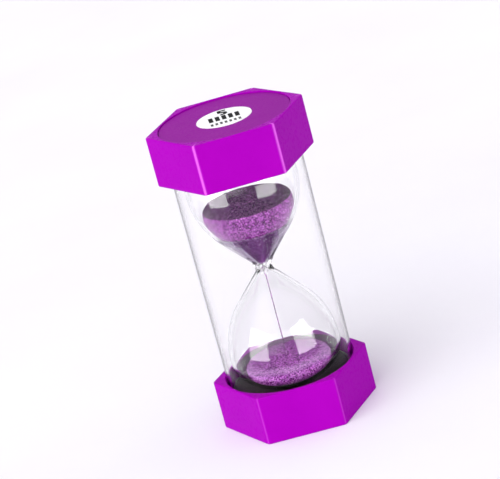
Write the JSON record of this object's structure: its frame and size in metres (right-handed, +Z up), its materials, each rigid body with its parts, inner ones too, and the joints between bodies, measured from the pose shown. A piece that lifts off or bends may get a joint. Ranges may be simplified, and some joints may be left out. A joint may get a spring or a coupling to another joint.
{
  "type": "hourglass",
  "caption": "Sand timer: a two-bulb glass vial of purple sand inside a clear guard tube, closed at each end by a purple hexagonal cap it can stand on.",
  "frame": {"origin": "centre of the face that the timer stands on", "axes": "+Z up along the timer's axis; corners of the hexagonal caps point along X and flats face Y, each cap turned 1.85 degrees one way or the other"},
  "size_m": [0.0504, 0.045, 0.102],
  "materials": {
    "cap_plastic": "smooth moulded, semi-gloss, vivid purple",
    "disc_plastic": "fine satin purple",
    "label_paper": null,
    "glue": "set clear glue",
    "clear_tube": "clear polished acrylic",
    "foam": "black closed-cell foam",
    "vial_glass": "clear blown glass",
    "stopper_rubber": "off-white rubber",
    "sand": "fine purple sand with pale glitter grains"
  },
  "bodies": {
    "root": {"bottom_hex_cap": "cap_plastic", "top_hex_cap": "cap_plastic", "bottom_end_disc": "disc_plastic", "top_end_disc": "disc_plastic", "bottom_label": "label_paper", "top_label": "label_paper", "bottom_glue_ring": "glue", "top_glue_ring": "glue", "outer_tube": "clear_tube", "bottom_cushion": "foam", "top_cushion": "foam", "glass_vial": "vial_glass", "vial_stopper": "stopper_rubber", "sand_upper": "sand", "sand_stream": "sand", "sand_lower": "sand"}
  },
  "joints": []
}
